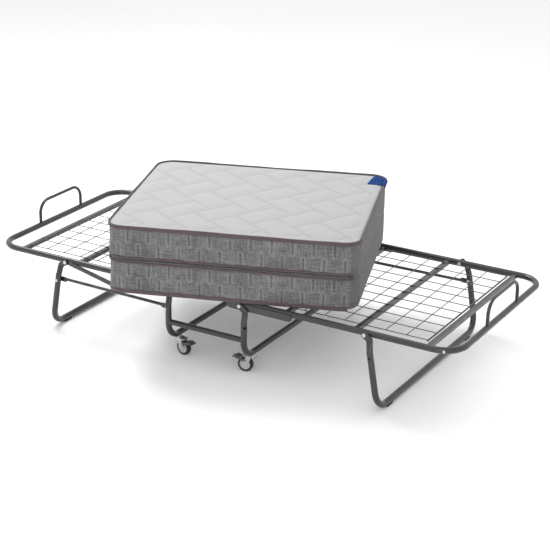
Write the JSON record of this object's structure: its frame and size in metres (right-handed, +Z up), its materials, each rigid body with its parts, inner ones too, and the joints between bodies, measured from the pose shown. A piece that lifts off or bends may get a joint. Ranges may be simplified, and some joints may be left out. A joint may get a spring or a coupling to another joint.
{
  "type": "rollaway bed",
  "caption": "Folding rollaway bed, unfolded: tubular U-shaped deck halves with wire mesh, end legs, wheeled middle carriage and a folded quilted mattress lying askew.",
  "frame": {"origin": "on the floor, midway along the bed and under the middle of the overall footprint, which is the mattress's middle across the bed; the deck's own centre line is at Y = +60 mm", "axes": "+X along the bed towards its foot end, +Y across the bed to the far side, away from the side with the closing strap, +Z up"},
  "size_m": [1.88, 0.9532, 0.5234],
  "materials": {
    "frame_paint": "satin dark warm grey powder coat with a light orange peel",
    "wire_paint": "satin dark grey coated wire",
    "zinc": "zinc-plated steel, slightly dull",
    "plug_plastic": "black moulded plastic",
    "rubber": "dark rubber",
    "tyre": "black tread",
    "hub_plastic": "light grey moulded plastic",
    "pedal_plastic": "dark grey moulded pedal",
    "mattress_cover": "white quilted top, grey linen-weave border with dashed stitching, mauve-grey piping"
  },
  "bodies": {
    "carriage": {"head_carriage_hoop": "frame_paint", "foot_carriage_hoop": "frame_paint", "near_carriage_side_bar": "frame_paint", "far_carriage_side_bar": "frame_paint", "caster_stems": "zinc", "head_carriage_link_pin": "zinc", "foot_carriage_link_pin": "zinc"},
    "head_half": {"head_deck_frame": "frame_paint", "head_rail_plugs": "plug_plastic", "head_end_bar": "frame_paint", "head_second_bar": "frame_paint", "head_third_bar": "frame_paint", "head_inner_bar": "frame_paint", "head_deck_mesh": "wire_paint", "head_mattress_hoop": "frame_paint", "head_hinge_plates": "frame_paint", "head_fold_rivets": "zinc", "head_leg_rivets": "zinc"},
    "head_leg": {"head_leg_tube": "frame_paint", "head_foot_glides": "rubber", "head_leg_link_pin": "zinc"},
    "head_rod": {"head_link_rod": "frame_paint"},
    "foot_half": {"foot_deck_frame": "frame_paint", "foot_rail_plugs": "plug_plastic", "foot_end_bar": "frame_paint", "foot_second_bar": "frame_paint", "foot_third_bar": "frame_paint", "foot_inner_bar": "frame_paint", "foot_deck_mesh": "wire_paint", "foot_mattress_hoop": "frame_paint", "foot_hinge_plates": "frame_paint", "foot_fold_rivets": "zinc", "foot_leg_rivets": "zinc", "foot_corner_stud": "zinc"},
    "foot_leg": {"foot_leg_tube": "frame_paint", "foot_foot_glides": "rubber", "foot_leg_link_pin": "zinc"},
    "foot_rod": {"foot_link_rod": "frame_paint"},
    "strap": {"closing_strap": "frame_paint"},
    "near_head_caster": {"near_head_fork": "zinc", "near_head_axle": "zinc"},
    "near_head_wheel": {"near_head_tyre": "tyre", "near_head_hub": "hub_plastic"},
    "near_head_pedal": {"near_head_brake_pedal": "pedal_plastic"},
    "near_foot_caster": {"near_foot_fork": "zinc", "near_foot_axle": "zinc"},
    "near_foot_wheel": {"near_foot_tyre": "tyre", "near_foot_hub": "hub_plastic"},
    "near_foot_pedal": {"near_foot_brake_pedal": "pedal_plastic"},
    "far_head_caster": {"far_head_fork": "zinc", "far_head_axle": "zinc"},
    "far_head_wheel": {"far_head_tyre": "tyre", "far_head_hub": "hub_plastic"},
    "far_foot_caster": {"far_foot_fork": "zinc", "far_foot_axle": "zinc"},
    "far_foot_wheel": {"far_foot_tyre": "tyre", "far_foot_hub": "hub_plastic"},
    "lower_mattress": {"lower_mattress_block": "mattress_cover"},
    "upper_mattress": {"upper_mattress_block": "mattress_cover"}
  },
  "joints": [
    {"name": "head_fold", "type": "hinge", "parent": "carriage", "child": "head_half", "pos_m": [-0.132, 0.06, 0.262], "axis": [0, 1, 0], "range_deg": [0, 90]},
    {"name": "head_leg_fold", "type": "hinge", "parent": "head_half", "child": "head_leg", "pos_m": [-0.61, 0.06, 0.267], "axis": [0, 1, 0], "range_deg": [-90, 0]},
    {"name": "head_rod_swing", "type": "hinge", "parent": "carriage", "child": "head_rod", "pos_m": [-0.162, -0.325, 0.192], "axis": [0, 1, 0], "range_deg": [0, 90]},
    {"name": "foot_fold", "type": "hinge", "parent": "carriage", "child": "foot_half", "pos_m": [0.132, 0.06, 0.262], "axis": [0, -1, 0], "range_deg": [0, 90]},
    {"name": "foot_leg_fold", "type": "hinge", "parent": "foot_half", "child": "foot_leg", "pos_m": [0.61, 0.06, 0.267], "axis": [0, -1, 0], "range_deg": [-90, 0]},
    {"name": "foot_rod_swing", "type": "hinge", "parent": "carriage", "child": "foot_rod", "pos_m": [0.162, 0.445, 0.192], "axis": [0, -1, 0], "range_deg": [0, 90]},
    {"name": "strap_swing", "type": "hinge", "parent": "head_half", "child": "strap", "pos_m": [-0.61, -0.325, 0.267], "axis": [0, -1, 0], "range_deg": [0, 102]},
    {"name": "near_head_swivel", "type": "hinge", "parent": "carriage", "child": "near_head_caster", "pos_m": [-0.155, -0.278, 0.0605], "axis": [0, 0, 1], "continuous": true},
    {"name": "near_head_roll", "type": "hinge", "parent": "near_head_caster", "child": "near_head_wheel", "pos_m": [-0.12925, -0.28162, 0.027], "axis": [0.1392, 0.9903, 0], "continuous": true},
    {"name": "near_head_brake", "type": "hinge", "parent": "near_head_caster", "child": "near_head_pedal", "pos_m": [-0.12826, -0.28176, 0.043], "axis": [0.1392, 0.9903, 0], "range_deg": [0, 8]},
    {"name": "near_foot_swivel", "type": "hinge", "parent": "carriage", "child": "near_foot_caster", "pos_m": [0.155, -0.278, 0.0605], "axis": [0, 0, 1], "continuous": true},
    {"name": "near_foot_roll", "type": "hinge", "parent": "near_foot_caster", "child": "near_foot_wheel", "pos_m": [0.1294, -0.28252, 0.027], "axis": [0.1736, -0.9848, 0], "continuous": true},
    {"name": "near_foot_brake", "type": "hinge", "parent": "near_foot_caster", "child": "near_foot_pedal", "pos_m": [0.12841, -0.28269, 0.043], "axis": [0.1736, -0.9848, 0], "range_deg": [0, 8]},
    {"name": "far_head_swivel", "type": "hinge", "parent": "carriage", "child": "far_head_caster", "pos_m": [-0.155, 0.398, 0.0605], "axis": [0, 0, 1], "continuous": true},
    {"name": "far_head_roll", "type": "hinge", "parent": "far_head_caster", "child": "far_head_wheel", "pos_m": [-0.13144, 0.40899, 0.027], "axis": [-0.4226, 0.9063, 0], "continuous": true},
    {"name": "far_foot_swivel", "type": "hinge", "parent": "carriage", "child": "far_foot_caster", "pos_m": [0.155, 0.398, 0.0605], "axis": [0, 0, 1], "continuous": true},
    {"name": "far_foot_roll", "type": "hinge", "parent": "far_foot_caster", "child": "far_foot_wheel", "pos_m": [0.13057, 0.38911, 0.027], "axis": [0.342, -0.9397, 0], "continuous": true},
    {"name": "mattress_lift", "type": "slide", "parent": "carriage", "child": "lower_mattress", "axis": [0, 0, 1], "range_m": [0, 1.26]},
    {"name": "mattress_unfold", "type": "hinge", "parent": "lower_mattress", "child": "upper_mattress", "pos_m": [0.39211, 0.14487, 0.4014], "axis": [-0.3338, 0.9426, 0], "range_deg": [0, 165]}
  ],
  "couplings": [
    {"joint": "foot_fold", "follows": "head_fold", "ratio": 1},
    {"joint": "head_leg_fold", "follows": "head_fold", "ratio": -1},
    {"joint": "head_rod_swing", "follows": "head_fold", "ratio": 1},
    {"joint": "foot_leg_fold", "follows": "head_fold", "ratio": -1},
    {"joint": "foot_rod_swing", "follows": "head_fold", "ratio": 1},
    {"joint": "strap_swing", "follows": "head_fold", "ratio": 1.1333},
    {"joint": "mattress_lift", "follows": "head_fold", "m_per_rad": 0.8}
  ]
}
